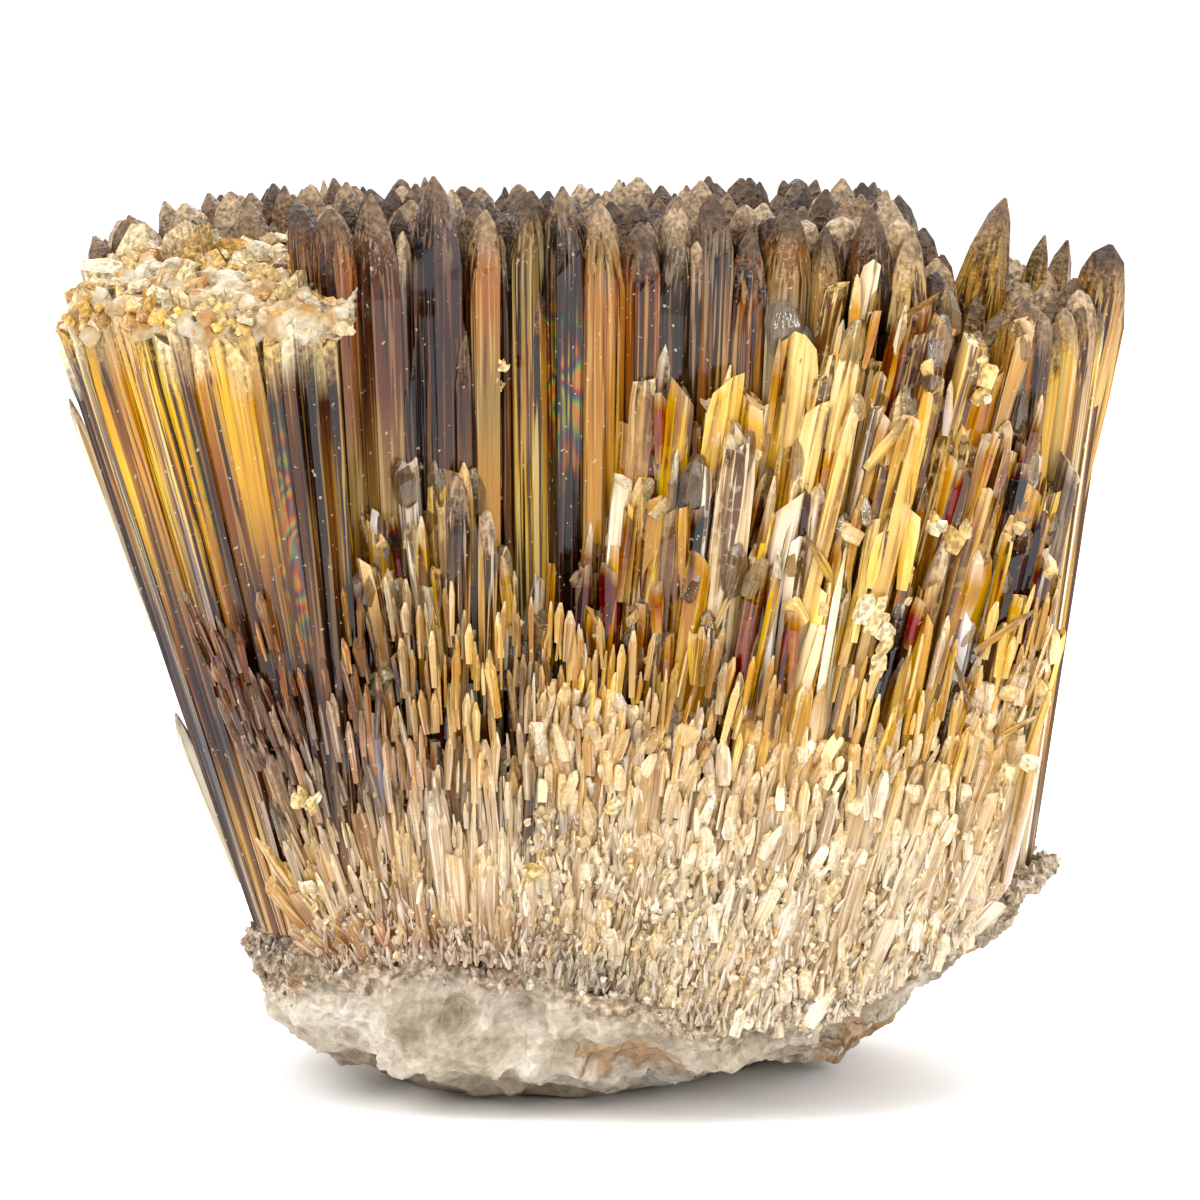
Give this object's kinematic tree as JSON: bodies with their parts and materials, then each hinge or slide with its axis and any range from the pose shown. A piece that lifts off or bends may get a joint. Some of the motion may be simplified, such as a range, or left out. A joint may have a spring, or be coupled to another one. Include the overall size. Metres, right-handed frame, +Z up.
{
  "type": "amber calcite specimen",
  "caption": "Fan of slender amber calcite crystals with a crown of pointed tips, broken in ledges at the front, on a lump of pale limestone that stands on a flat face.",
  "frame": {"origin": "on the surface that the specimen stands on, under the middle of its bounding box", "axes": "+Z up along the crystals, -Y to the broken front of the fan, +X to the right of a person who faces that front"},
  "size_m": [0.1198, 0.0712, 0.102],
  "materials": {
    "amber_calcite": "clear to smoky amber calcite with flat shiny faces, frosted brown-grey tips and sugary white breaks",
    "limestone": "rough pale grey-beige limestone with tan stains and a sparkling grey-brown crust"
  },
  "bodies": {
    "root": {"limestone_matrix": "limestone", "calcite_crystals": "amber_calcite"}
  },
  "joints": []
}
